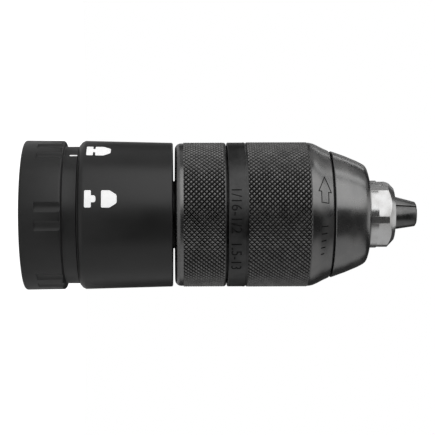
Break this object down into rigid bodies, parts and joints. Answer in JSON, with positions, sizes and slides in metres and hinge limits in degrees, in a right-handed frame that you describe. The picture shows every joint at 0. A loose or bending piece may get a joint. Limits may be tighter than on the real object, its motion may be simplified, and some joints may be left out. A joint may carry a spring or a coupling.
{
  "type": "keyless drill chuck",
  "caption": "Keyless drill chuck on a quick-change spindle adapter: ribbed lock ring, smooth sleeve with lock marks, knurled rings, hexagonal nose and sliding jaws.",
  "frame": {"origin": "centre of the change ring's rear face, on the chuck's axis", "axes": "+Z along the axis from the spindle end to the jaw tips; the first jaw lies 6 degrees from -X; the lock marks are turned toward -Y"},
  "size_m": [0.0444, 0.0444, 0.1164],
  "materials": {
    "black_plastic": "satin",
    "black_oxide_steel": "knurled, black oxide",
    "gunmetal_steel": "turned, dark",
    "bright_steel": "turned, bright",
    "hard_steel": "ground",
    "spring_steel": "blued",
    "rubber": "matt",
    "slip_plastic": "matt",
    "white_print": "printed mark"
  },
  "bodies": {
    "chuck": {"adapter_hub": "black_oxide_steel", "stop_pin": "hard_steel", "click_plunger": "spring_steel", "wave_washer": "spring_steel", "snap_ring": "spring_steel", "socket_seal": "rubber", "icon_sleeve": "black_plastic", "sleeve_circlip": "spring_steel", "chuck_body": "bright_steel", "rear_ring": "black_oxide_steel", "slip_washer": "slip_plastic", "nose_cap": "gunmetal_steel", "race_rear": "hard_steel", "retaining_screw": "hard_steel"},
    "change_ring": {"change_ring": "black_plastic", "cam_ring": "hard_steel"},
    "lock_ball_1": {"lock_ball_1": "hard_steel"},
    "lock_ball_2": {"lock_ball_2": "hard_steel"},
    "lock_ball_3": {"lock_ball_3": "hard_steel"},
    "front_sleeve": {"front_sleeve": "black_oxide_steel", "nut_half_a": "hard_steel", "nut_half_b": "hard_steel", "nut_shell": "gunmetal_steel", "race_front": "hard_steel"},
    "ball_cage": {"ball_cage": "hard_steel"},
    "jaw_1": {"jaw_1": "black_oxide_steel"},
    "jaw_2": {"jaw_2": "black_oxide_steel"},
    "jaw_3": {"jaw_3": "black_oxide_steel"}
  },
  "joints": [
    {"name": "front_sleeve_turn", "type": "hinge", "parent": "chuck", "child": "front_sleeve", "pos_m": [0, 0, 0.075], "axis": [0, 0, 1], "range_deg": [0, 3090]},
    {"name": "jaw_1_slide", "type": "slide", "parent": "chuck", "child": "jaw_1", "axis": [-0.2574, 0.0271, -0.9659], "range_m": [0, 0.0223]},
    {"name": "jaw_2_slide", "type": "slide", "parent": "chuck", "child": "jaw_2", "axis": [0.1053, -0.2364, -0.9659], "range_m": [0, 0.0223]},
    {"name": "jaw_3_slide", "type": "slide", "parent": "chuck", "child": "jaw_3", "axis": [0.1521, 0.2094, -0.9659], "range_m": [0, 0.0223]},
    {"name": "ball_cage_turn", "type": "hinge", "parent": "chuck", "child": "ball_cage", "pos_m": [0, 0, 0.07515], "axis": [0, 0, 1], "range_deg": [0, 1546]},
    {"name": "change_ring_turn", "type": "hinge", "parent": "chuck", "child": "change_ring", "pos_m": [0, 0, 0.008], "axis": [0, 0, 1], "range_deg": [0, 46.5]},
    {"name": "lock_ball_1_slide", "type": "slide", "parent": "chuck", "child": "lock_ball_1", "axis": [0.866, 0.5, 0], "range_m": [0, 0.00152]},
    {"name": "lock_ball_2_slide", "type": "slide", "parent": "chuck", "child": "lock_ball_2", "axis": [-0.866, 0.5, 0], "range_m": [0, 0.00152]},
    {"name": "lock_ball_3_slide", "type": "slide", "parent": "chuck", "child": "lock_ball_3", "axis": [0, -1, 0], "range_m": [0, 0.00152]}
  ],
  "couplings": [
    {"joint": "jaw_1_slide", "follows": "front_sleeve_turn", "m_per_rad": 0.00041192},
    {"joint": "jaw_2_slide", "follows": "front_sleeve_turn", "m_per_rad": 0.00041192},
    {"joint": "jaw_3_slide", "follows": "front_sleeve_turn", "m_per_rad": 0.00041192},
    {"joint": "ball_cage_turn", "follows": "front_sleeve_turn", "ratio": 0.5},
    {"joint": "lock_ball_1_slide", "follows": "change_ring_turn", "m_per_rad": 0.001868},
    {"joint": "lock_ball_2_slide", "follows": "change_ring_turn", "m_per_rad": 0.001868},
    {"joint": "lock_ball_3_slide", "follows": "change_ring_turn", "m_per_rad": 0.001868}
  ]
}
